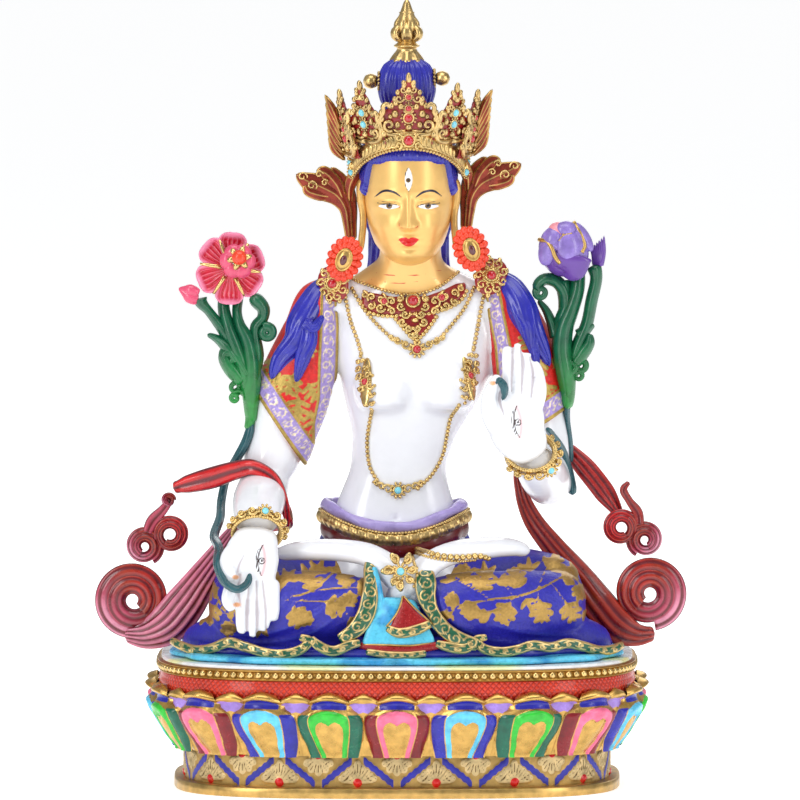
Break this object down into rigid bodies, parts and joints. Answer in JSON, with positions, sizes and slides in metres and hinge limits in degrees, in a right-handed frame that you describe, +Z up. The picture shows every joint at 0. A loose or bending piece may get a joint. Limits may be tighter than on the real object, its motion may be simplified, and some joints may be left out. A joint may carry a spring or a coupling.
{
  "type": "seated tara figure on a lotus pedestal",
  "caption": "Painted and gilded copper statue of a seated goddess with crown, lotuses and curling scarves, on an oval lotus petal pedestal that stands on its flat underside.",
  "frame": {"origin": "on the floor, at the middle of the pedestal's flat underside", "axes": "+Z up, the figure faces -Y, and +X is to the viewer's right"},
  "size_m": [0.2558, 0.1622, 0.3373],
  "materials": {
    "pedestal_gold": "gilded copper with enamel colours in its petals and bands",
    "white_skin": "glossy white enamel, the face in satin gold",
    "crown_gold": "gilded scrollwork on a dark red ground",
    "coral": "matt coral red enamel with a gold setting",
    "red_scarf": "shaded red and rose enamel",
    "green_stem": "shaded green enamel, pink and lavender flowers",
    "blue_hair": "ultramarine enamel over grooved hair",
    "blue_cloth": "ultramarine enamel with gold leaf branches",
    "face_gold": "cold gold paint, satin, with painted eyes and lips",
    "sky_cloth": "glossy sky blue enamel"
  },
  "bodies": {
    "root": {"lotus_pedestal": "pedestal_gold", "figure": "white_skin", "crown": "crown_gold", "right_earring": "coral", "left_earring": "coral", "right_scarf": "red_scarf", "left_scarf": "red_scarf", "open_lotus": "green_stem", "bud_lotus": "green_stem"}
  },
  "joints": []
}
